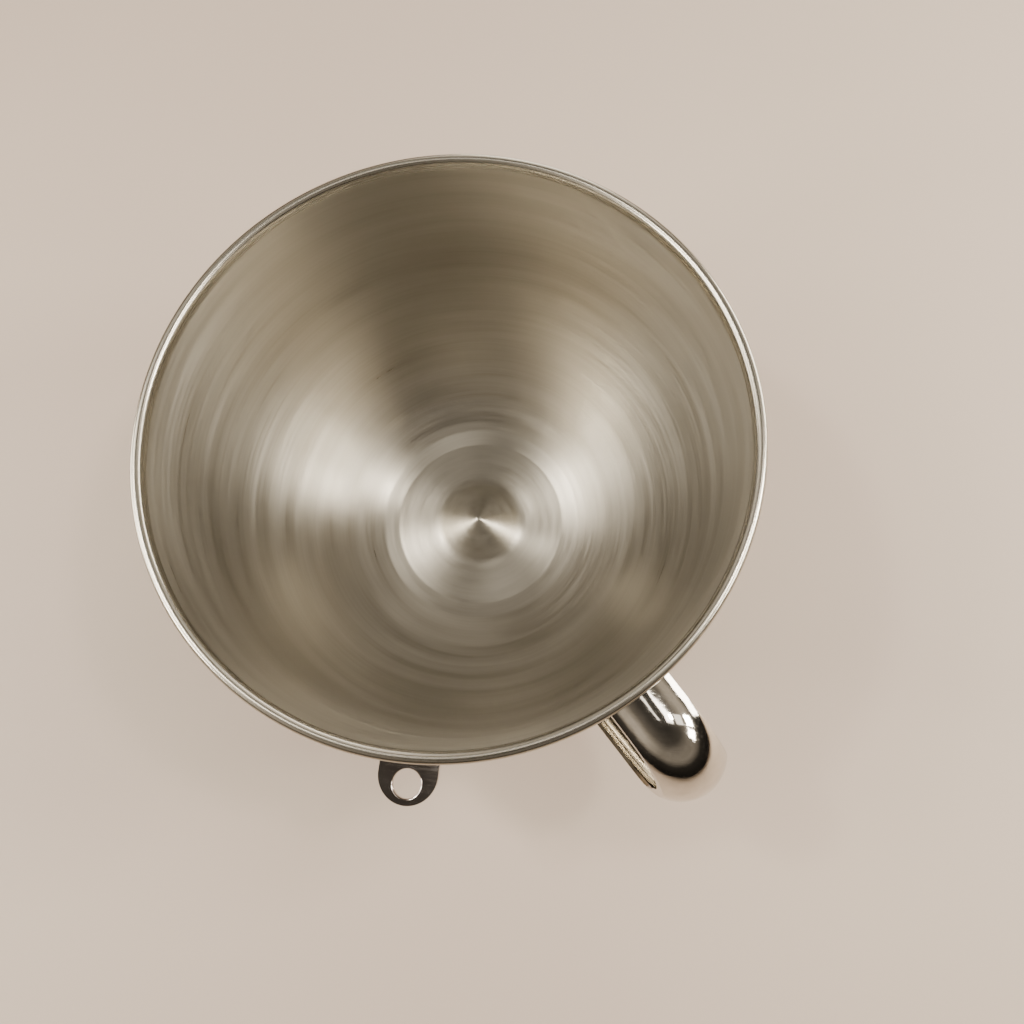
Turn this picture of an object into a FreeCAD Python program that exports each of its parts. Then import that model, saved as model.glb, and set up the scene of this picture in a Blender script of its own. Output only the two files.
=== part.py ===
# Mixing bowl of a bowl-lift stand mixer: a spun steel shell with a rolled rim, a welded foot ring,
# a half-tube handle, two side support ears with pin holes, and a rear latch bracket with its pin.
# Millimetres, +Z up. The origin is the centre of the foot's resting plane. The front faces -Y, the
# rear latch is on +Y and the support ears are on -X and +X.
import FreeCAD, Part
import Sketcher
import math
import os

Vector = FreeCAD.Vector
UP = Vector(0, 0, 1)

DIMENSIONS = (
    ("rim_radius", 120.0, "axis to the outside of the rolled rim"),
    ("rim_height", 155.0, "foot to the middle of the rolled rim"),
    ("buried_share", 0.8, "share of the rim radius at which trimmed pieces start, inside the wall"),
    ("curl_radius", 2.2, "outside radius of the rolled rim"),
    ("curl_turn", 262.0, "degrees that the sheet is rolled through"),
    ("sheet", 1.0, "shell thickness"),
    ("floor_height", 12.0, "foot to the inside of the floor"),
    ("floor_radius", 43.0, "outer radius of the flat floor"),
    ("ring_radius", 52.0, "outer radius of the sloping ring round the floor"),
    ("ring_slope", 12.0, "slope of that ring"),
    ("ring_inner_bend", 5.0, "inside radius where the floor turns up into the ring"),
    ("ring_outer_bend", 8.0, "inside radius where the ring turns up into the wall"),
    ("wall_foot_angle", 22.0, "slope of the wall where it leaves the ring"),
    ("wall_top_angle", 84.5, "slope of the wall below the rim"),
    ("dimple_radius", 25.0, "outer radius of the raised centre"),
    ("dimple_slope", 22.0, "slope of the raised centre"),
    ("dimple_crown", 6.0, "radius of its rounded tip"),
    ("dimple_fillet", 14.0, "radius where it leaves the floor"),
    ("foot_sheet", 1.2, "foot ring thickness"),
    ("foot_radius", 50.0, "outside radius of the foot ring"),
    ("foot_flange_radius", 34.0, "inner radius of its welded flange"),
    ("foot_lip_radius", 43.5, "inner radius of the lip that it stands on"),
    ("foot_bend", 2.2, "outside radius of its two bends"),
    ("handle_angle", 224.0, "azimuth of the handle, from +X towards +Y"),
    ("handle_sheet", 1.5, "handle thickness"),
    ("handle_crown", 18.0, "outside radius of its rounded section"),
    ("handle_section", 150.0, "degrees that the section is rolled through before its sides are cut"),
    ("handle_neck", 24.6, "width over the lips of the upper leg"),
    ("handle_flare", 4.4, "slope by which each side widens towards the lower leg"),
    ("handle_lean", 2.2, "slope by which the loop leans towards the left ear"),
    ("handle_top", 146.0, "foot to the crown of the upper leg"),
    ("handle_reach", 163.5, "axis to the outermost point of the handle"),
    ("handle_bend", 33.0, "crown radius of the bend"),
    ("handle_turn", 160.0, "degrees that the strap is bent through"),
    ("handle_lower_run", 69.0, "length of the lower leg before it is trimmed to the wall"),
    ("handle_tab", 18.0, "width of its welding tabs"),
    ("upper_tab_low", 124.0, "foot to the bottom of the upper tab"),
    ("lower_tab_high", 88.0, "foot to the top of the lower tab"),
    ("lower_tab_low", 55.0, "foot to the bottom of the lower tab"),
    ("ear_sheet", 3.0, "support ear thickness"),
    ("ear_width", 23.1, "lug width"),
    ("ear_top", 120.0, "foot to the top of the lug"),
    ("ear_tip", 137.0, "axis to the end of the lug"),
    ("ear_hole_place", 128.9, "axis to the centre of the pin hole"),
    ("ear_hole", 5.5, "pin hole radius"),
    ("ear_hole_edge", 0.5, "rounding of the pin hole's edges"),
    ("ear_flange_width", 30.0, "width of the flange that is welded to the wall"),
    ("ear_flange_drop", 24.0, "height of that flange"),
    ("latch_sheet", 2.0, "latch bracket thickness"),
    ("latch_width", 26.0, "width over the bracket's webs"),
    ("latch_face", 119.0, "axis to the back of the bracket's face"),
    ("latch_low", 106.0, "foot to the bottom of the bracket"),
    ("latch_high", 130.0, "foot to the top of the bracket"),
    ("latch_flange", 9.0, "width of each welded flange beside a web"),
    ("pin_height", 118.0, "foot to the axis of the latch pin"),
    ("pin_radius", 5.0, "latch pin radius"),
    ("pin_collar_radius", 7.5, "radius of the collar in front of the bracket"),
    ("pin_collar", 2.0, "thickness of that collar"),
    ("pin_rivet_radius", 6.8, "radius of the riveted head behind the bracket"),
    ("pin_rivet", 1.5, "thickness of that head"),
    ("pin_reach", 134.5, "axis to the end of the pin"),
    ("pin_dome", 1.2, "rounding of the pin's end"),
)


class Size:
    """A number and the spreadsheet formula that it comes from."""

    def __init__(self, value, text):
        self.value = float(value)
        self.text = text

    def __add__(self, other):
        other = as_size(other)
        return Size(self.value + other.value, f"({self.text} + {other.text})")

    def __sub__(self, other):
        other = as_size(other)
        return Size(self.value - other.value, f"({self.text} - {other.text})")

    def __mul__(self, other):
        other = as_size(other)
        return Size(self.value * other.value, f"({self.text} * {other.text})")

    def __truediv__(self, other):
        other = as_size(other)
        return Size(self.value / other.value, f"({self.text} / {other.text})")

    def __neg__(self):
        return as_size(0) - self


def as_size(number):
    return number if isinstance(number, Size) else Size(number, repr(float(number)))


def sine(angle):
    return Size(math.sin(math.radians(angle.value)), f"sin({angle.text})")


def cosine(angle):
    return Size(math.cos(math.radians(angle.value)), f"cos({angle.text})")


def tangent(angle):
    return Size(math.tan(math.radians(angle.value)), f"tan({angle.text})")


document = FreeCAD.newDocument("mixer_bowl")
sheet = document.addObject("Spreadsheet::Sheet", "Dimensions")
size = {}
for row, (alias, value, meaning) in enumerate(DIMENSIONS, start=1):
    sheet.set(f"A{row}", meaning)
    sheet.set(f"B{row}", str(value))
    sheet.setAlias(f"B{row}", alias)
    size[alias] = Size(value, f"Dimensions.{alias}")
document.recompute()


class Line:
    """A straight piece of an outline."""

    def __init__(self, start, end):
        self.start, self.end = start, end
        self.first, self.last = 1, 2
        self.radius = None

    def geometry(self):
        return Part.LineSegment(flat(self.start), flat(self.end))


class Arc:
    """A round piece of an outline about a centre. The sketcher's arcs run counter-clockwise."""

    def __init__(self, start, end, centre, radius, left_turn):
        self.start, self.end, self.centre = start, end, centre
        self.radius = radius
        self.left_turn = left_turn
        self.first, self.last = (1, 2) if left_turn else (2, 1)

    def geometry(self):
        low, high = (self.start, self.end) if self.left_turn else (self.end, self.start)
        centre = flat(self.centre)
        from_angle, to_angle = (
            math.atan2(flat(p).y - centre.y, flat(p).x - centre.x) for p in (low, high)
        )
        if to_angle <= from_angle:
            to_angle += 2 * math.pi
        return Part.ArcOfCircle(Part.Circle(centre, UP, self.radius.value), from_angle, to_angle)


def flat(point):
    return Vector(point[0].value, point[1].value, 0)


def step(point, heading, distance):
    """The point that lies a distance away in the direction of a heading in degrees."""
    return point[0] + distance * cosine(heading), point[1] + distance * sine(heading)


def walk(start, heading, moves, side):
    """Pieces of the line that runs `side` to the right of a path.

    The path leaves start at a heading in degrees. Each move is a length, or a radius with a turn
    in degrees that is positive to the left.
    """
    pieces = []
    right = as_size(90)

    def beside(point, direction):
        return step(point, direction - right, side)

    for move in moves:
        if isinstance(move, tuple):
            radius, turn = move
            left_turn = turn.value > 0
            centre = step(start, heading + right if left_turn else heading - right, radius)
            next_heading = heading + turn
            back = next_heading - right if left_turn else next_heading + right
            end = step(centre, back, radius)
            beside_radius = radius + side if left_turn else radius - side
            ends = beside(start, heading), beside(end, next_heading)
            pieces.append(Arc(*ends, centre, beside_radius, left_turn))
            heading = next_heading
        else:
            end = step(start, heading, move)
            pieces.append(Line(beside(start, heading), beside(end, heading)))
        start = end
    return pieces


def backwards(pieces):
    """The same pieces, run the other way."""
    turned = []
    for piece in reversed(pieces):
        if isinstance(piece, Arc):
            ends = piece.end, piece.start
            turned.append(Arc(*ends, piece.centre, piece.radius, not piece.left_turn))
        else:
            turned.append(Line(piece.end, piece.start))
    return turned


def joined(*runs):
    """One closed outline: the runs in turn, with straight pieces across the gaps."""
    pieces = [piece for run in runs for piece in run]
    closed = []
    for piece, following in zip(pieces, pieces[1:] + pieces[:1]):
        closed.append(piece)
        if (flat(piece.end) - flat(following.start)).Length > 1e-6:
            closed.append(Line(piece.end, following.start))
    return closed


def polygon(*corners):
    corners = [(as_size(x), as_size(y)) for x, y in corners]
    return [Line(a, b) for a, b in zip(corners, corners[1:] + corners[:1])]


def bind(target, constraint, formula):
    """Add a dimension to a sketch and tie it to its formula."""
    index = target.addConstraint(constraint)
    target.setExpression(f"Constraints[{index}]", formula)


def pin_point(target, curve, end, point):
    """Hold a point of a sketch at its place, which follows the sheet."""
    for kind, axis, place in (("DistanceX", -2, point[0]), ("DistanceY", -1, point[1])):
        if abs(place.value) < 1e-9:
            target.addConstraint(Sketcher.Constraint("PointOnObject", curve, end, axis))
        else:
            rule = Sketcher.Constraint(kind, -1, 1, curve, end, place.value)
            bind(target, rule, place.text)


def sketch(body, name, role, pieces, is_closed=True, height=None):
    """A sketch on one of the body's origin planes, raised along the plane's normal."""
    made = body.newObject("Sketcher::SketchObject", name)
    plane = next(p for p in body.Origin.OriginFeatures if p.Role == role)
    made.AttachmentSupport = [(plane, "")]
    made.MapMode = "FlatFace"
    if height is not None:
        made.setExpression("AttachmentOffset.Base.z", height.text)
    for piece in pieces:
        made.addGeometry(piece.geometry(), False)
    for index, piece in enumerate(pieces):
        pin_point(made, index, piece.first, piece.start)
        if index + 1 < len(pieces) or is_closed:
            following = (index + 1) % len(pieces)
            ends = index, piece.last, following, pieces[following].first
            made.addConstraint(Sketcher.Constraint("Coincident", *ends))
        else:
            pin_point(made, index, piece.last, piece.end)
        if piece.radius is not None:
            rule = Sketcher.Constraint("Radius", index, piece.radius.value)
            bind(made, rule, piece.radius.text)
    return made


def add_circle(target, centre, radius):
    circle = Part.Circle(flat(centre), UP, radius.value)
    index = target.addGeometry(circle, False)
    pin_point(target, index, 3, centre)
    bind(target, Sketcher.Constraint("Radius", index, radius.value), radius.text)


def new_body(name):
    body = document.addObject("PartDesign::Body", name)
    body.Label = name
    return body


def revolve(body, profile, axis="V_Axis"):
    feature = body.newObject("PartDesign::Revolution", profile.Name + "_turned")
    feature.Profile = profile
    feature.ReferenceAxis = (profile, [axis])
    feature.Angle = 360
    return feature


def boolean(kind, name, base, tool):
    made = document.addObject(kind, name)
    made.Label = name
    made.Base = base
    made.Tool = tool
    return made


def fuse(name, shapes):
    made = document.addObject("Part::MultiFuse", name)
    made.Label = name
    made.Shapes = shapes
    made.Refine = True
    return made


def box(name, low, high):
    """A box between two corners, each a triple of sizes."""
    made = document.addObject("Part::Box", name)
    for side, axis, near, far in zip(("Length", "Width", "Height"), "xyz", low, high):
        near, far = as_size(near), as_size(far)
        made.setExpression(side, (far - near).text)
        made.setExpression(f"Placement.Base.{axis}", near.text)
    return made


def turn(thing, angle):
    """Turn a finished sub-part about the bowl's axis, from the +X side."""
    thing.Placement.Rotation = FreeCAD.Rotation(UP, angle.value)
    thing.setExpression("Placement.Rotation.Angle", angle.text)


# ---- the path of the shell's inner surface, from the centre of the floor out to the rim ----

AXIS = as_size(0)
LEVEL = as_size(0)
MARGIN = as_size(1)  # how far a cutting tool reaches past what it cuts
inside_wall = size["rim_radius"] * size["buried_share"]
slope = size["dimple_slope"]
crown_and_fillet = size["dimple_crown"] + size["dimple_fillet"]
cone_length = (size["dimple_radius"] - crown_and_fillet * sine(slope)) / cosine(slope)
dimple_rise = crown_and_fillet * (as_size(1) - cosine(slope)) + cone_length * sine(slope)
dimple_tip = AXIS, size["floor_height"] + dimple_rise

foot_angle, top_angle = size["wall_foot_angle"], size["wall_top_angle"]
wall_turn = top_angle - foot_angle
ring_slope = size["ring_slope"]
inner_bend, outer_bend = size["ring_inner_bend"], size["ring_outer_bend"]
ring_bends_out = inner_bend * sine(ring_slope) + outer_bend * (sine(foot_angle) - sine(ring_slope))
ring_run = (size["ring_radius"] - size["floor_radius"] - ring_bends_out) / cosine(ring_slope)
ring_rise = (
    inner_bend * (as_size(1) - cosine(ring_slope))
    + ring_run * sine(ring_slope)
    + outer_bend * (cosine(ring_slope) - cosine(foot_angle))
)
wall_foot = size["ring_radius"], size["floor_height"] + ring_rise
curl_centre = size["rim_radius"] - size["curl_radius"], size["rim_height"]
wall_top = step(curl_centre, top_angle + 90, size["curl_radius"])

# The wall is one arc and a short straight run, which end at the start of the curl: the arc's
# chord and the run are the two sides of a triangle with the line from the wall's foot to its top.
chord_angle = (foot_angle + top_angle) / 2
across, upward = wall_top[0] - wall_foot[0], wall_top[1] - wall_foot[1]
corner = sine(top_angle - chord_angle)
wall_chord = (across * sine(top_angle) - upward * cosine(top_angle)) / corner
wall_run = (upward * cosine(chord_angle) - across * sine(chord_angle)) / corner
wall_radius = wall_chord / (sine(wall_turn / 2) * 2)

FLOOR_MOVES = [
    (size["dimple_crown"], -slope),
    cone_length,
    (size["dimple_fillet"], slope),
    size["floor_radius"] - size["dimple_radius"],
    (inner_bend, ring_slope),
    ring_run,
    (outer_bend, foot_angle - ring_slope),
]
WALL_MOVES = [(wall_radius, wall_turn), wall_run]
RIM_MOVES = [(size["curl_radius"], -size["curl_turn"])]


def wall_line(distance):
    """The wall's outline at a distance outside its inner surface."""
    return walk(wall_foot, foot_angle, WALL_MOVES, distance)


def build_shell():
    body = new_body("bowl_shell")
    moves = FLOOR_MOVES + WALL_MOVES + RIM_MOVES
    inside = walk(dimple_tip, LEVEL, moves, as_size(0))
    outside = walk(dimple_tip, LEVEL, moves, size["sheet"])
    outline = joined(inside, backwards(outside))
    revolve(body, sketch(body, "shell_section", "XZ_Plane", outline))
    return body


def build_wall_core():
    """Everything inside the wall's outer surface, used to trim what is welded to the wall."""
    body = new_body("wall_core")
    line = wall_line(size["sheet"])
    to_axis = polygon((AXIS, line[-1].end[1]), (AXIS, line[0].start[1]))[:1]
    revolve(body, sketch(body, "core_section", "XZ_Plane", joined(line, to_axis)))
    return body


def build_wall_band(name, thickness):
    """A layer that lies on the wall's outer surface, from which welded flanges are cut."""
    body = new_body(name)
    near, far = wall_line(size["sheet"]), wall_line(size["sheet"] + thickness)
    revolve(body, sketch(body, name + "_section", "XZ_Plane", joined(near, backwards(far))))
    return body


def build_foot_ring():
    body = new_body("foot_ring")
    top = size["floor_height"] - size["sheet"]
    bend = size["foot_bend"], as_size(-90)
    moves = [
        size["foot_radius"] - size["foot_bend"] - size["foot_flange_radius"],
        bend,
        top - size["foot_bend"] * 2,
        bend,
        size["foot_radius"] - size["foot_bend"] - size["foot_lip_radius"],
    ]
    start = size["foot_flange_radius"], top
    outer = walk(start, LEVEL, moves, as_size(0))
    inner = walk(start, LEVEL, moves, size["foot_sheet"])
    revolve(body, sketch(body, "foot_section", "XZ_Plane", joined(outer, backwards(inner))))
    return body


def build_strap():
    """The handle's half-tube, bent into a loop, before its sides and ends are trimmed."""
    body = new_body("handle_strap")
    crown_radius = size["handle_crown"]
    inner_radius = crown_radius - size["handle_sheet"]
    half_angle = size["handle_section"] / 2
    centre = AXIS, -crown_radius
    outer_ends = [step(centre, as_size(90) + a, crown_radius) for a in (-half_angle, half_angle)]
    inner_ends = [step(centre, as_size(90) + a, inner_radius) for a in (half_angle, -half_angle)]
    section = joined(
        [Arc(*outer_ends, centre, crown_radius, True)],
        [Arc(*inner_ends, centre, inner_radius, False)],
    )
    bend_start = size["handle_reach"] - size["handle_bend"]
    path_moves = [
        bend_start - inside_wall,
        (size["handle_bend"], -size["handle_turn"]),
        size["handle_lower_run"],
    ]
    path = sketch(
        body,
        "strap_path",
        "XZ_Plane",
        walk((inside_wall, size["handle_top"]), LEVEL, path_moves, as_size(0)),
        is_closed=False,
    )
    profile = sketch(body, "strap_section", "YZ_Plane", section, height=inside_wall)
    profile.setExpression("AttachmentOffset.Base.y", size["handle_top"].text)
    pipe = body.newObject("PartDesign::AdditivePipe", "strap_sweep")
    pipe.Profile = profile
    pipe.Spine = (path, ["Edge1", "Edge2", "Edge3"])
    return body


def build_blank():
    """The handle's outline seen from its end: a narrow neck that widens downwards and leans."""
    body = new_body("handle_blank")
    neck, top, bottom = size["handle_neck"] / 2, size["handle_top"] + MARGIN, as_size(0)
    drop = top - bottom
    to_left = drop * tangent(size["handle_flare"] + size["handle_lean"])
    to_right = drop * tangent(size["handle_flare"] - size["handle_lean"])
    outline = polygon(
        (neck, top), (-neck, top), (-neck - to_left, bottom), (neck + to_right, bottom)
    )
    near = size["foot_radius"]
    plan = sketch(body, "blank_outline", "YZ_Plane", outline, height=near)
    pad = body.newObject("PartDesign::Pad", "blank_pad")
    pad.Profile = plan
    pad.setExpression("Length", (size["handle_reach"] + MARGIN - near).text)
    return body


def build_handle(core, band):
    outline_cut = boolean("Part::Common", "strap_outline_cut", build_strap(), build_blank())
    trimmed = boolean("Part::Cut", "strap_trimmed", outline_cut, core)
    half = size["handle_tab"] / 2
    crown_inside = size["handle_top"] - size["handle_sheet"] / 2
    inner = size["foot_radius"]
    outer = size["rim_radius"]
    tabs = []
    spans = (
        ("upper_tab", size["upper_tab_low"], crown_inside),
        ("lower_tab", size["lower_tab_low"], size["lower_tab_high"]),
    )
    for name, low, high in spans:
        middle = (size["handle_top"] - (low + high) / 2) * tangent(size["handle_lean"])
        block = box(name + "_block", (inner, -half - middle, low), (outer, half - middle, high))
        tabs.append(boolean("Part::Common", name, band, block))
    handle = fuse("handle", [trimmed] + tabs)
    turn(handle, size["handle_angle"])
    return handle


def build_ear(name, side, core, band):
    """A lug with a pin hole and a flange that is bent down and welded to the wall."""
    body = new_body(name + "_lug")
    half = size["ear_width"] / 2
    tip_centre = size["ear_tip"] - half, AXIS
    root = inside_wall
    right_end, left_end = (tip_centre[0], -half), (tip_centre[0], half)
    tip = size["ear_tip"], AXIS
    outline = joined(
        [Line((root, -half), right_end)],
        [Arc(right_end, tip, tip_centre, half, True)],
        [Arc(tip, left_end, tip_centre, half, True)],
        [Line(left_end, (root, half))],
    )
    bottom = size["ear_top"] - size["ear_sheet"]
    plan = sketch(body, name + "_plan", "XY_Plane", outline, height=bottom)
    add_circle(plan, (size["ear_hole_place"], AXIS), size["ear_hole"])
    pad = body.newObject("PartDesign::Pad", name + "_pad")
    pad.Profile = plan
    pad.setExpression("Length", size["ear_sheet"].text)
    document.recompute()
    edges = [
        f"Edge{number}"
        for number, edge in enumerate(pad.Shape.Edges, start=1)
        if edge.Closed and abs(edge.Curve.Radius - size["ear_hole"].value) < 1e-6
    ]
    rounding = body.newObject("PartDesign::Fillet", name + "_hole_edges")
    rounding.Base = (pad, edges)
    rounding.setExpression("Radius", size["ear_hole_edge"].text)
    lug = boolean("Part::Cut", name + "_trimmed", body, core)
    flange_half = size["ear_flange_width"] / 2
    block = box(
        name + "_flange_block",
        (size["foot_radius"], -flange_half, size["ear_top"] - size["ear_flange_drop"]),
        (size["rim_radius"], flange_half, size["ear_top"]),
    )
    flange = boolean("Part::Common", name + "_flange", band, block)
    ear = fuse(name, [lug, flange])
    turn(ear, side)
    return ear


def build_latch_bracket(core, band, side):
    """A hat-shaped bracket: a face that stands off the wall on two webs, each with a flange."""
    body = new_body("latch_hat")
    half, thick = size["latch_width"] / 2, size["latch_sheet"]
    root, face = inside_wall, size["latch_face"]
    outline = polygon(
        (root, -half),
        (face + thick, -half),
        (face + thick, half),
        (root, half),
        (root, half - thick),
        (face, half - thick),
        (face, thick - half),
        (root, thick - half),
    )
    plan = sketch(body, "latch_plan", "XY_Plane", outline, height=size["latch_low"])
    pad = body.newObject("PartDesign::Pad", "latch_pad")
    pad.Profile = plan
    pad.setExpression("Length", (size["latch_high"] - size["latch_low"]).text)
    drill = document.addObject("Part::Cylinder", "latch_drill")
    drill.setExpression("Radius", size["pin_radius"].text)
    drill.setExpression("Height", (thick + MARGIN * 2).text)
    drill.Placement.Rotation = FreeCAD.Rotation(Vector(0, 1, 0), 90)
    drill.setExpression("Placement.Base.x", (face - MARGIN).text)
    drill.setExpression("Placement.Base.z", size["pin_height"].text)
    trimmed = boolean("Part::Cut", "latch_trimmed", body, core)
    drilled = boolean("Part::Cut", "latch_drilled", trimmed, drill)
    flanges = []
    reach = half + size["latch_flange"]
    spans = (("near", thick - half, -reach), ("far", half - thick, reach))
    for name, start, end in spans:
        low, high = (start, end) if start.value < end.value else (end, start)
        block = box(
            f"latch_{name}_block",
            (size["foot_radius"], low, size["latch_low"]),
            (size["rim_radius"], high, size["latch_high"]),
        )
        flanges.append(boolean("Part::Common", f"latch_{name}_flange", band, block))
    bracket = fuse("rear_latch_bracket", [drilled] + flanges)
    turn(bracket, side)
    return bracket


def build_latch_pin(side):
    """A stud that is riveted through the bracket's face, with a collar in front of it."""
    body = new_body("rear_latch_pin")
    back = size["latch_face"]
    front = back + size["latch_sheet"]
    collar_end = front + size["pin_collar"]
    radius, dome = size["pin_radius"], size["pin_dome"]
    height = size["pin_height"]
    end = size["pin_reach"]
    stations = [
        (back - size["pin_rivet"], AXIS),
        (back - size["pin_rivet"], size["pin_rivet_radius"]),
        (back, size["pin_rivet_radius"]),
        (back, radius),
        (front, radius),
        (front, size["pin_collar_radius"]),
        (collar_end, size["pin_collar_radius"]),
        (collar_end, radius),
        (end - dome, radius),
    ]
    outline = joined(
        [Line(a, b) for a, b in zip(stations, stations[1:])],
        [Arc((end - dome, radius), (end, radius - dome), (end - dome, radius - dome), dome, False)],
        [Line((end, radius - dome), (end, AXIS))],
    )
    profile = sketch(body, "pin_section", "XY_Plane", outline)
    revolve(body, profile, "H_Axis")
    turn(body, side)
    body.setExpression("Placement.Base.z", height.text)
    return body


core = build_wall_core()
nodes = [
    build_shell(),
    build_foot_ring(),
    build_handle(core, build_wall_band("handle_band", size["handle_sheet"])),
]
ear_band = build_wall_band("ear_band", size["ear_sheet"])
LEFT, RIGHT, REAR = as_size(180), as_size(0), as_size(90)
nodes.append(build_ear("left_support_ear", LEFT, core, ear_band))
nodes.append(build_ear("right_support_ear", RIGHT, core, ear_band))
nodes.append(build_latch_bracket(core, build_wall_band("latch_band", size["latch_sheet"]), REAR))
nodes.append(build_latch_pin(REAR))
document.recompute()

for thing in document.Objects:
    bad = [state for state in thing.State if state in ("Invalid", "Error")]
    if bad:
        raise RuntimeError(f"{thing.Name} is {bad}")
for node in nodes:
    shape = node.Shape
    if shape.isNull() or not shape.isValid() or len(shape.Solids) != 1:
        raise RuntimeError(f"{node.Label} is not one valid solid")

os.makedirs("parts", exist_ok=True)
for node in nodes:
    node.Shape.exportStep(f"parts/{node.Label}.step")
    bounds = node.Shape.BoundBox
    print(
        f"{node.Label}: {node.Shape.Volume / 1000:.2f} cm3, "
        f"x {bounds.XMin:.1f} to {bounds.XMax:.1f}, y {bounds.YMin:.1f} to {bounds.YMax:.1f}, "
        f"z {bounds.ZMin:.1f} to {bounds.ZMax:.1f}"
    )
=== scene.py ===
import math
import random

import bmesh
import bpy
from mathutils import Matrix, Vector


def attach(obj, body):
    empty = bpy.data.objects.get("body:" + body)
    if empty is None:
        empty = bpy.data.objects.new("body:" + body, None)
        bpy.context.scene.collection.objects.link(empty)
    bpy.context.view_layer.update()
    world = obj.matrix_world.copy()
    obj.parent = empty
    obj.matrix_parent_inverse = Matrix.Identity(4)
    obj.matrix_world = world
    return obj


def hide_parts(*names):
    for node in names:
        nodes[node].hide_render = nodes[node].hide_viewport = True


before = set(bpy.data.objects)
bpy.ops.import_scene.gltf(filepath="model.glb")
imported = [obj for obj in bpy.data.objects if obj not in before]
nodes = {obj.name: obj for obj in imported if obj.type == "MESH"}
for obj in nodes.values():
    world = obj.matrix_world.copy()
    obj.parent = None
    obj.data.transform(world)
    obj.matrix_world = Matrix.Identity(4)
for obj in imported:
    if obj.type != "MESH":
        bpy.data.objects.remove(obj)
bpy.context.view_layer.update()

scene = bpy.context.scene


# ---- small helpers for shader graphs ----

class Graph:
    """A material or world node tree that is built by short calls."""

    def __init__(self, tree):
        self.tree = tree
        tree.nodes.clear()

    def node(self, kind, inputs=None, **settings):
        made = self.tree.nodes.new(kind)
        for name, value in settings.items():
            setattr(made, name, value)
        for name, value in (inputs or {}).items():
            self.feed(made.inputs[name], value)
        return made

    def feed(self, socket, value):
        if isinstance(value, bpy.types.NodeSocket):
            self.tree.links.new(value, socket)
        else:
            socket.default_value = value

    def math(self, operation, *values):
        made = self.node("ShaderNodeMath", operation=operation)
        for socket, value in zip(made.inputs, values):
            self.feed(socket, value)
        return made.outputs[0]

    def add(self, first, second):
        return self.math("ADD", first, second)

    def times(self, first, second):
        return self.math("MULTIPLY", first, second)

    def between(self, share, low, high):
        """A straight line from low, where the share is 0, to high, where it is 1."""
        return self.math("MULTIPLY_ADD", share, high - low, low)

    def remap(self, value, low, high, to_low, to_high):
        """A smooth step from one value to another between two places."""
        made = self.node(
            "ShaderNodeMapRange",
            {"Value": value, "From Min": low, "From Max": high, "To Min": to_low, "To Max": to_high},
            interpolation_type="SMOOTHSTEP",
        )
        return made.outputs[0]

    def vector(self, x, y, z):
        return self.node("ShaderNodeCombineXYZ", {"X": x, "Y": y, "Z": z}).outputs[0]

    def noise(self, vector, scale, detail, roughness=0.5, distortion=0.0):
        made = self.node(
            "ShaderNodeTexNoise",
            {"Vector": vector, "Scale": scale, "Detail": detail, "Roughness": roughness,
             "Distortion": distortion},
        )
        return made.outputs["Fac"]

    def mix(self, share, low, high):
        made = self.node("ShaderNodeMix", data_type="FLOAT")
        for index, value in ((0, share), (2, low), (3, high)):
            self.feed(made.inputs[index], value)
        return made.outputs[0]

    def mix_colours(self, share, low, high):
        made = self.node("ShaderNodeMix", data_type="RGBA", clamp_factor=True)
        for index, value in ((0, share), (6, low), (7, high)):
            self.feed(made.inputs[index], value)
        return made.outputs[2]

    def ramp(self, share, stops):
        made = self.node("ShaderNodeValToRGB", {"Fac": share})
        band = made.color_ramp.elements
        while len(band) < len(stops):
            band.new(0.5)
        for element, (place, colour) in zip(band, stops):
            element.position = place
            element.color = (*colour, 1.0)
        return made.outputs[0]

    def bump(self, height, strength, distance):
        made = self.node(
            "ShaderNodeBump", {"Height": height, "Strength": strength, "Distance": distance}
        )
        return made.outputs[0]

    def finish(self, **inputs):
        """The surface shader with its inputs, joined to the output."""
        named = {name.replace("_", " "): value for name, value in inputs.items()}
        surface = self.node("ShaderNodeBsdfPrincipled", named)
        self.node("ShaderNodeOutputMaterial", {"Surface": surface.outputs[0]})


class Round:
    """Directions on a turned surface, and noise that is drawn out round the bowl's axis."""

    NEAREST = 0.0005  # radius below which the direction round the axis is not needed

    def __init__(self, graph):
        self.graph = graph
        self.place = graph.node("ShaderNodeTexCoord").outputs["Object"]
        x, y, self.z = graph.node("ShaderNodeSeparateXYZ", {"Vector": self.place}).outputs
        radius = graph.math("SQRT", graph.add(graph.times(x, x), graph.times(y, y)))
        safe = graph.math("MAXIMUM", radius, self.NEAREST)
        self.cosine = graph.math("DIVIDE", x, safe)
        self.sine = graph.math("DIVIDE", y, safe)
        self.along = graph.add(radius, self.z)

    def lines(self, per_metre, reach, detail, shift=0.0):
        """Lathe lines, so many to the metre; a smaller reach makes each run further round."""
        graph = self.graph
        vector = graph.vector(
            graph.math("MULTIPLY_ADD", self.along, per_metre, shift),
            graph.times(self.cosine, reach),
            graph.times(self.sine, reach),
        )
        return graph.noise(vector, scale=1.0, detail=detail, roughness=0.55)

    def tangent(self):
        made = self.graph.node("ShaderNodeTangent", direction_type="RADIAL", axis="Z")
        return made.outputs[0]


def new_material(name):
    made = bpy.data.materials.new(name)
    made.use_nodes = True
    return made, Graph(made.node_tree)


# ---- materials ----

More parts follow.
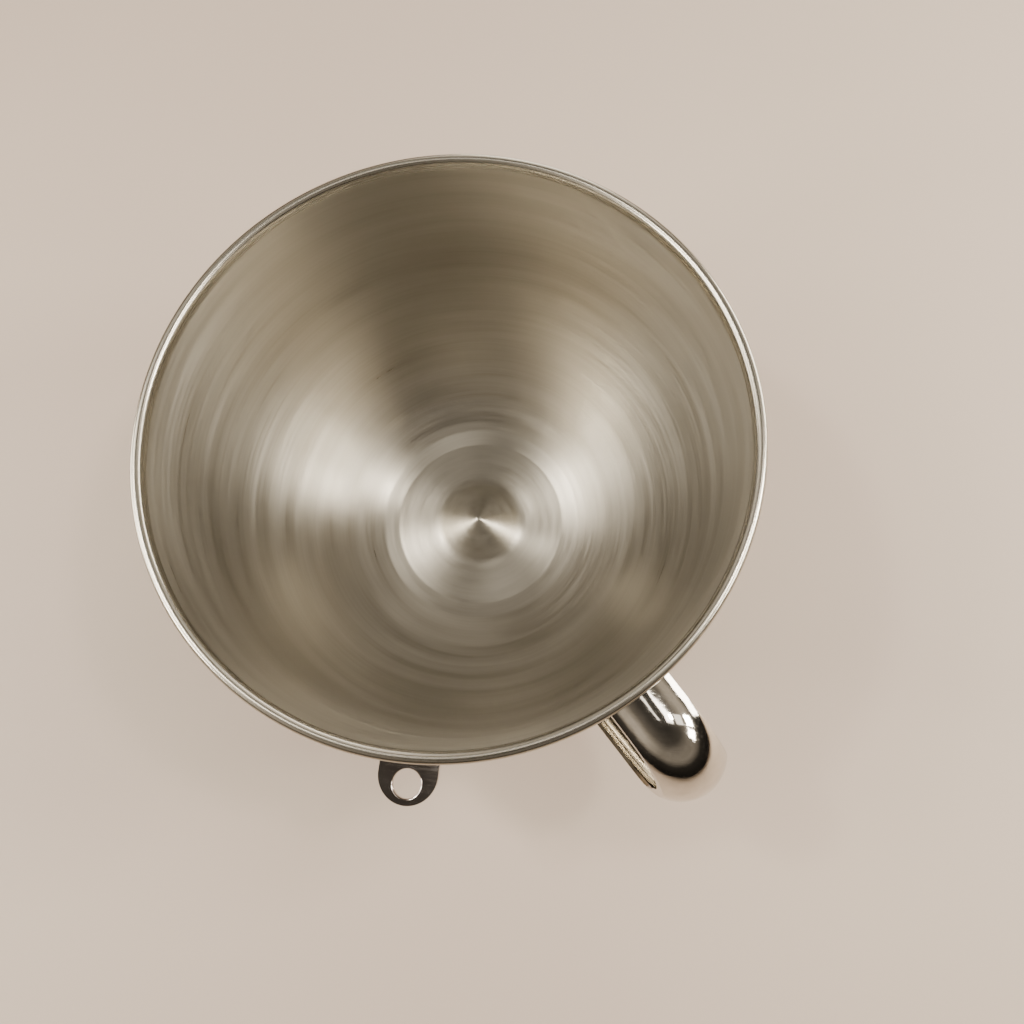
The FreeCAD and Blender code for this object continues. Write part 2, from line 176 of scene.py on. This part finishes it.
ACROSS_THE_LINES = 0.25  # turn of the anisotropy, so that highlights spread across the lathe lines
RIM_FINISH = (0.1508, 0.1532)  # heights between which the satin wall gives way to the rolled rim
SATIN_TONES = (
    (0.25, (0.37, 0.34, 0.28)), (0.5, (0.43, 0.40, 0.335)), (0.75, (0.48, 0.45, 0.385)),
)
FOOT_TONES = ((0.3, (0.50, 0.485, 0.45)), (0.7, (0.62, 0.605, 0.57)))
HANDLE_TONES = ((0.3, (0.58, 0.545, 0.48)), (0.7, (0.68, 0.645, 0.58)))
# the warm reddish cast of the ear tones is a painted reflection of the reddish-brown surroundings on
# plain steel; the spread between the two stops is random tone
EAR_TONES_PAINTED_REFLECTION = ((0.3, (0.49, 0.435, 0.395)), (0.7, (0.59, 0.535, 0.49)))
PIN_TONES = ((0.3, (0.55, 0.54, 0.51)), (0.7, (0.64, 0.63, 0.60)))
TABLE_TONES = ((0.3, (0.465, 0.378, 0.305)), (0.7, (0.51, 0.416, 0.338)))
TABLE_SPECK = (0.40, 0.32, 0.26, 1.0)
# turn and scale of each set of hairline scratches, and how far they are drawn out
SCRATCHES = ((0.4, 900.0), (1.7, 1300.0), (2.6, 1700.0))
SCRATCH_STRETCH = 0.035


def satin_steel():
    """Spun sheet: circular lathe marks all over, and a smoother rolled rim."""
    made, g = new_material("bowl_satin_steel")
    around = Round(g)
    fine = around.lines(per_metre=2600.0, reach=2.2, detail=3.0)
    medium = around.lines(per_metre=620.0, reach=1.6, detail=3.0, shift=40.0)
    broad = around.lines(per_metre=90.0, reach=0.9, detail=2.0, shift=90.0)
    cloud = g.noise(around.place, scale=22.0, detail=3.0, roughness=0.55, distortion=0.6)
    rim = g.remap(around.z, *RIM_FINISH, 0.0, 1.0)
    marks = g.add(g.times(medium, 0.16), g.times(broad, 0.10))
    satin_roughness = g.add(marks, g.between(cloud, 0.17, 0.23))
    rim_roughness = g.between(fine, 0.20, 0.34)
    g.finish(
        Base_Color=g.ramp(g.add(g.times(broad, 0.6), g.times(medium, 0.4)), SATIN_TONES),
        Metallic=1.0,
        Roughness=g.mix(rim, satin_roughness, rim_roughness),
        Anisotropic=g.between(rim, 0.82, 0.12),
        Anisotropic_Rotation=ACROSS_THE_LINES,
        Tangent=around.tangent(),
        Normal=g.bump(
            g.add(g.times(fine, 0.35), g.times(medium, 0.65)),
            strength=g.between(rim, 0.2, 0.04),
            distance=0.00004,
        ),
    )
    return made


def polished_steel(name, tones, roughness, wave, scratch):
    """Polished sheet: faint waves of the buffing wheel and fine hairlines in all directions."""
    made, g = new_material(name)
    place = g.node("ShaderNodeTexCoord").outputs["Object"]
    slow = g.noise(place, scale=45.0, detail=2.0, distortion=0.4)
    cloud = g.noise(place, scale=160.0, detail=4.0, roughness=0.6, distortion=0.3)
    hair = []
    for angle, scale in SCRATCHES:
        turned = g.node(
            "ShaderNodeMapping",
            {"Vector": place, "Rotation": (angle, angle * 0.6, angle),
             "Scale": (1.0, SCRATCH_STRETCH, 1.0)},
        )
        hair.append(g.noise(turned.outputs[0], scale, detail=2.0))
    strands = g.times(g.times(hair[0], hair[1]), hair[2])
    lines = g.remap(strands, 0.10, 0.22, 0.0, 1.0)
    g.finish(
        Base_Color=g.ramp(cloud, tones),
        Metallic=1.0,
        Roughness=g.add(g.between(cloud, roughness, roughness + 0.06), g.times(lines, 0.05)),
        Normal=g.bump(
            g.add(g.times(slow, wave), g.times(lines, scratch)), strength=0.35, distance=0.0004
        ),
    )
    return made


def brushed_steel(name):
    made, g = new_material(name)
    around = Round(g)
    fine = around.lines(per_metre=2400.0, reach=2.0, detail=3.0)
    medium = around.lines(per_metre=500.0, reach=1.5, detail=2.0, shift=25.0)
    cloud = g.noise(around.place, scale=60.0, detail=4.0, roughness=0.6, distortion=0.5)
    g.finish(
        Base_Color=g.ramp(medium, FOOT_TONES),
        Metallic=1.0,
        Roughness=g.add(g.times(medium, 0.15), g.between(cloud, 0.16, 0.26)),
        Anisotropic=0.6,
        Anisotropic_Rotation=ACROSS_THE_LINES,
        Tangent=around.tangent(),
        Normal=g.bump(fine, strength=0.25, distance=0.00005),
    )
    return made


def table_top():
    """A pale, slightly uneven matt surface with a few faint specks."""
    made, g = new_material("pale_table")
    place = g.node("ShaderNodeTexCoord").outputs["Object"]
    soft = g.noise(place, scale=1.6, detail=3.0, distortion=0.3)
    fine = g.noise(place, scale=260.0, detail=3.0, roughness=0.6)
    speck = g.noise(place, scale=85.0, detail=2.0)
    dots = g.remap(speck, 0.74, 0.80, 0.0, 0.10)
    g.finish(
        Base_Color=g.mix_colours(dots, g.ramp(soft, TABLE_TONES), TABLE_SPECK),
        Roughness=g.between(fine, 0.5, 0.7),
        Normal=g.bump(fine, strength=0.12, distance=0.0003),
    )
    return made


FINISHES = {
    "satin_steel": satin_steel(),
    "foot_steel": brushed_steel("foot_brushed_steel"),
    "polished_steel": polished_steel(
        "handle_polished_steel", HANDLE_TONES, roughness=0.04, wave=2.2, scratch=0.03
    ),
    "ear_steel": polished_steel(
        "ear_polished_steel", EAR_TONES_PAINTED_REFLECTION, roughness=0.05, wave=0.4, scratch=0.04
    ),
    "pin_steel": polished_steel(
        "pin_turned_steel", PIN_TONES, roughness=0.14, wave=0.1, scratch=0.08
    ),
}

for node in nodes.values():
    for holder in node.material_slots:
        holder.material = FINISHES[holder.material.name]


# ---- the spun shell: the CAD node's section, turned, with the lathe's soft ripples ----

MM = 0.001
# millimetres and degrees, as in the CAD node; the rim is 0.02 mm smaller to stay inside its box
SHELL = {
    "rim_radius": 119.98, "rim_height": 155.0, "curl_radius": 2.2, "curl_turn": 262.0,
    "sheet": 1.0, "floor_height": 12.0, "floor_radius": 43.0, "ring_radius": 52.0,
    "ring_slope": 12.0, "ring_inner_bend": 5.0, "ring_outer_bend": 8.0, "wall_foot": 22.0,
    "wall_top": 84.5, "dimple_radius": 25.0, "dimple_slope": 22.0, "dimple_crown": 6.0,
    "dimple_fillet": 14.0,
}
# wavelength in millimetres, and amplitude as a share of it
RIPPLES = ((2.3, 0.0010), (3.7, 0.0014), (6.1, 0.0016), (10.3, 0.0018), (17.0, 0.0020))
RIPPLE_SEED = 41
CENTRE_FADE, CURL_FADE = 8.0, 6.0  # distances over which the ripples fade in and out
POINT_PITCH, TURN_PITCH = 0.7, 9.0  # longest step along the section, in millimetres and degrees
AROUND = 288


def shell_moves(d):
    """Start of the inside line and its moves: a length, or a radius with a turn to the left."""
    slope = math.radians(d["dimple_slope"])
    rounds = d["dimple_crown"] + d["dimple_fillet"]
    cone = (d["dimple_radius"] - rounds * math.sin(slope)) / math.cos(slope)
    rise = rounds * (1 - math.cos(slope)) + cone * math.sin(slope)
    foot, top = math.radians(d["wall_foot"]), math.radians(d["wall_top"])
    ring = math.radians(d["ring_slope"])
    inner, outer = d["ring_inner_bend"], d["ring_outer_bend"]
    bends_out = inner * math.sin(ring) + outer * (math.sin(foot) - math.sin(ring))
    ring_run = (d["ring_radius"] - d["floor_radius"] - bends_out) / math.cos(ring)
    ring_rise = (
        inner * (1 - math.cos(ring))
        + ring_run * math.sin(ring)
        + outer * (math.cos(ring) - math.cos(foot))
    )
    low = d["ring_radius"], d["floor_height"] + ring_rise
    high = (
        d["rim_radius"] - d["curl_radius"] - d["curl_radius"] * math.sin(top),
        d["rim_height"] + d["curl_radius"] * math.cos(top),
    )
    # the wall's arc and straight run are two sides of a triangle with the line from low to high
    across, upward = high[0] - low[0], high[1] - low[1]
    middle = (foot + top) / 2
    corner = math.sin(top - middle)
    chord = (across * math.sin(top) - upward * math.cos(top)) / corner
    run = (upward * math.cos(middle) - across * math.sin(middle)) / corner
    bend = chord / (2 * math.sin((top - foot) / 2))
    return (0.0, d["floor_height"] + rise), [
        (d["dimple_crown"], -d["dimple_slope"]),
        cone,
        (d["dimple_fillet"], d["dimple_slope"]),
        d["floor_radius"] - d["dimple_radius"],
        (inner, d["ring_slope"]),
        ring_run,
        (outer, d["wall_foot"] - d["ring_slope"]),
        (bend, d["wall_top"] - d["wall_foot"]),
        run,
        (d["curl_radius"], -d["curl_turn"]),
    ]


def trace(start, moves):
    """Points of the line, each with its heading and the distance walked."""
    x, z = start
    heading, walked = 0.0, 0.0
    points = [(x, z, heading, walked)]
    for move in moves:
        if isinstance(move, tuple):
            radius, turn = move[0], math.radians(move[1])
            length = radius * abs(turn)
            steps = max(math.ceil(length / POINT_PITCH), math.ceil(abs(move[1]) / TURN_PITCH))
            side = 1 if turn > 0 else -1
            centre_x = x - side * radius * math.sin(heading)
            centre_z = z + side * radius * math.cos(heading)
            for i in range(1, steps + 1):
                h = heading + turn * i / steps
                points.append((
                    centre_x + side * radius * math.sin(h),
                    centre_z - side * radius * math.cos(h),
                    h,
                    walked + length * i / steps,
                ))
            heading += turn
        else:
            length = move
            steps = math.ceil(length / POINT_PITCH)
            for i in range(1, steps + 1):
                far = length * i / steps
                points.append((
                    x + far * math.cos(heading), z + far * math.sin(heading), heading, walked + far,
                ))
        x, z = points[-1][:2]
        walked += length
    return points


def shell_outline():
    """The inside line with its ripples, the outside line back, both in millimetres."""
    dice = random.Random(RIPPLE_SEED)
    phases = [dice.uniform(0, 2 * math.pi) for _ in RIPPLES]
    line = trace(*shell_moves(SHELL))
    curl_start = line[-1][3] - SHELL["curl_radius"] * math.radians(SHELL["curl_turn"])

    def ripple(walked):
        fade_out = min(1.0, max(0.0, (curl_start - walked) / CURL_FADE))
        total = sum(
            wave * share * math.sin(2 * math.pi * walked / wave + phase)
            for (wave, share), phase in zip(RIPPLES, phases)
        )
        return total * min(1.0, walked / CENTRE_FADE) * fade_out

    inside = []
    for x, z, heading, walked in line:
        lift = ripple(walked)
        inside.append((x - lift * math.sin(heading), z + lift * math.cos(heading)))
    sheet = SHELL["sheet"]
    outside = [
        (x + sheet * math.sin(h), z - sheet * math.cos(h)) for x, z, h, _ in reversed(line)
    ]
    return inside, outside


def build_shell():
    """One skin of rings: up the inside, round the curl, and back down the outside."""
    inside, outside = shell_outline()
    outline = inside[1:] + outside[:-1]
    curl_end = len(inside) - 2
    directions = [
        (math.cos(a), math.sin(a)) for a in (2 * math.pi * i / AROUND for i in range(AROUND))
    ]
    work = bmesh.new()
    rings = [
        [work.verts.new((x * MM * c, x * MM * s, z * MM)) for c, s in directions]
        for x, z in outline
    ]
    for low, high in zip(rings, rings[1:]):
        for i in range(AROUND):
            j = (i + 1) % AROUND
            work.faces.new((low[i], low[j], high[j], high[i]))
    inner_tip = work.verts.new((0, 0, inside[0][1] * MM))
    outer_tip = work.verts.new((0, 0, outside[-1][1] * MM))
    for i in range(AROUND):
        j = (i + 1) % AROUND
        work.faces.new((inner_tip, rings[0][j], rings[0][i]))
        work.faces.new((outer_tip, rings[-1][i], rings[-1][j]))
    for face in work.faces:
        face.smooth = True
    # the sheet's cut edge at the end of the curl stays sharp
    for ring in (rings[curl_end], rings[curl_end + 1]):
        for a, b in zip(ring, ring[1:] + ring[:1]):
            work.edges.get((a, b)).smooth = False
    bmesh.ops.recalc_face_normals(work, faces=work.faces)
    mesh = bpy.data.meshes.new("spun_shell")
    work.to_mesh(mesh)
    work.free()
    mesh.materials.append(FINISHES["satin_steel"])
    made = bpy.data.objects.new("spun_shell", mesh)
    scene.collection.objects.link(made)
    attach(made, "root")
    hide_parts("bowl_shell")


build_shell()


# ---- floor, light and camera ----

FLOOR_HALF = 2.4
FLOOR_DROP = 0.0002  # the floor lies this far under the foot
FLOOR_STEPS = 48


def make_floor():
    rows = [-FLOOR_HALF + 2 * FLOOR_HALF * i / FLOOR_STEPS for i in range(FLOOR_STEPS + 1)]
    points = [(x, y, -FLOOR_DROP) for y in rows for x in rows]
    across = FLOOR_STEPS + 1
    faces = [
        (j * across + i, j * across + i + 1, (j + 1) * across + i + 1, (j + 1) * across + i)
        for j in range(FLOOR_STEPS)
        for i in range(FLOOR_STEPS)
    ]
    mesh = bpy.data.meshes.new("table")
    mesh.from_pydata(points, [], faces)
    mesh.materials.append(table_top())
    made = bpy.data.objects.new("table", mesh)
    scene.collection.objects.link(made)


WARM = (1.0, 0.93, 0.84)
AIM = Vector((-0.05, 0.0, 0.0))


def area_light(name, place, width, depth, power):
    light = bpy.data.lights.new(name, "AREA")
    light.shape = "RECTANGLE"
    light.size = width
    light.size_y = depth
    light.energy = power
    light.color = WARM
    made = bpy.data.objects.new(name, light)
    made.location = place
    made.rotation_mode = "QUATERNION"
    made.rotation_quaternion = (AIM - Vector(place)).to_track_quat("-Z", "Y")
    scene.collection.objects.link(made)


# colour of the room by the height of the direction: bright half-way up, dark low and overhead
ROOM = (
    (0.05, (0.035, 0.030, 0.025)),
    (0.28, (0.08, 0.068, 0.055)),
    (0.46, (0.66, 0.565, 0.455)),
    (0.62, (0.64, 0.550, 0.445)),
    (0.80, (0.19, 0.163, 0.132)),
    (0.96, (0.07, 0.061, 0.051)),
)
HANDLE_SIDE = (-0.72, -0.69)  # the room is dimmer in this direction, beyond the handle
DIM_FROM, DIM_TO = 0.05, 0.6
ROOM_STRENGTH, DIM_STRENGTH = 1.05, 0.45


def light_room():
    world = bpy.data.worlds.new("room")
    scene.world = world
    world.use_nodes = True
    w = Graph(world.node_tree)
    direction = w.node("ShaderNodeTexCoord").outputs["Generated"]
    east, north, upward = w.node("ShaderNodeSeparateXYZ", {"Vector": direction}).outputs
    toward = w.add(w.times(east, HANDLE_SIDE[0]), w.times(north, HANDLE_SIDE[1]))
    glow = w.node(
        "ShaderNodeBackground",
        {
            "Color": w.ramp(upward, ROOM),
            "Strength": w.remap(toward, DIM_FROM, DIM_TO, ROOM_STRENGTH, DIM_STRENGTH),
        },
    )
    w.node("ShaderNodeOutputWorld", {"Surface": glow.outputs[0]})


LAMP_REACH = 1.15
LAMP_SIZE = 0.22
# each lamp: its side of the room, its height and its turn towards +X in degrees, and its power
LAMPS = (
    ("right", 35, 14, 10.8), ("right", 35, -4, 4.1), ("left", 35, -22, 6.4), ("left", 35, -4, 3.3),
    ("left", 52, -4, 2.4), ("left", 52, 14, 1.6), ("right", 52, 14, 0.4),
    ("right", 68, 14, 1.5), ("left", 68, 14, 1.0),
)
# each light: its place, its width and depth, and its power
PANELS = {
    "hot_lamp_right": ((0.10, -0.49, 1.02), 0.09, 0.09, 3.3),
    "hot_lamp_left": ((0.09, 0.45, 1.04), 0.09, 0.09, 3.3),
    "panel_right": ((0.95, -1.2, 0.3), 0.9, 0.45, 21.2),
    "panel_left": ((0.0, 1.5, 0.35), 0.6, 0.6, 10.4),
    "panel_far_low": ((1.5, 0.0, 0.35), 0.6, 0.6, 6.3),
    "panel_far_high": ((1.3, 0.0, 0.9), 0.9, 0.9, 2.6),
    "lamp_above": ((-0.05, 0.0, 1.4), 0.25, 0.25, 0.7),
}


def place_lights():
    for side, height, turn, power in LAMPS:
        level = LAMP_REACH * math.cos(math.radians(height))
        place = (
            AIM.x + level * math.sin(math.radians(turn)),
            level * math.cos(math.radians(turn)) * (1 if side == "left" else -1),
            LAMP_REACH * math.sin(math.radians(height)),
        )
        area_light(f"lamp_{side}_{height}_{turn}", place, LAMP_SIZE, LAMP_SIZE, power)
    for name, (place, width, depth, power) in PANELS.items():
        area_light(name, place, width, depth, power)


CAMERA_PLACE = Vector((-0.10305, -0.05926, 0.46182))
CAMERA_RIGHT = Vector((0.1251, -0.9901, -0.0641))
CAMERA_UP = Vector((0.9633, 0.1057, 0.2468))
SENSOR_WIDTH = 36.0
LENS = 30.586


def place_camera():
    camera = bpy.data.cameras.new("camera")
    camera.sensor_width = SENSOR_WIDTH
    camera.lens = LENS
    camera.clip_start = 0.01
    camera.clip_end = 20.0
    camera.dof.use_dof = False
    made = bpy.data.objects.new("camera", camera)
    right = CAMERA_RIGHT.normalized()
    up = (CAMERA_UP - right * CAMERA_UP.dot(right)).normalized()
    turned = Matrix((right, up, right.cross(up))).transposed().to_4x4()
    made.matrix_world = Matrix.Translation(CAMERA_PLACE) @ turned
    scene.collection.objects.link(made)
    scene.camera = made


make_floor()
light_room()
place_lights()
place_camera()
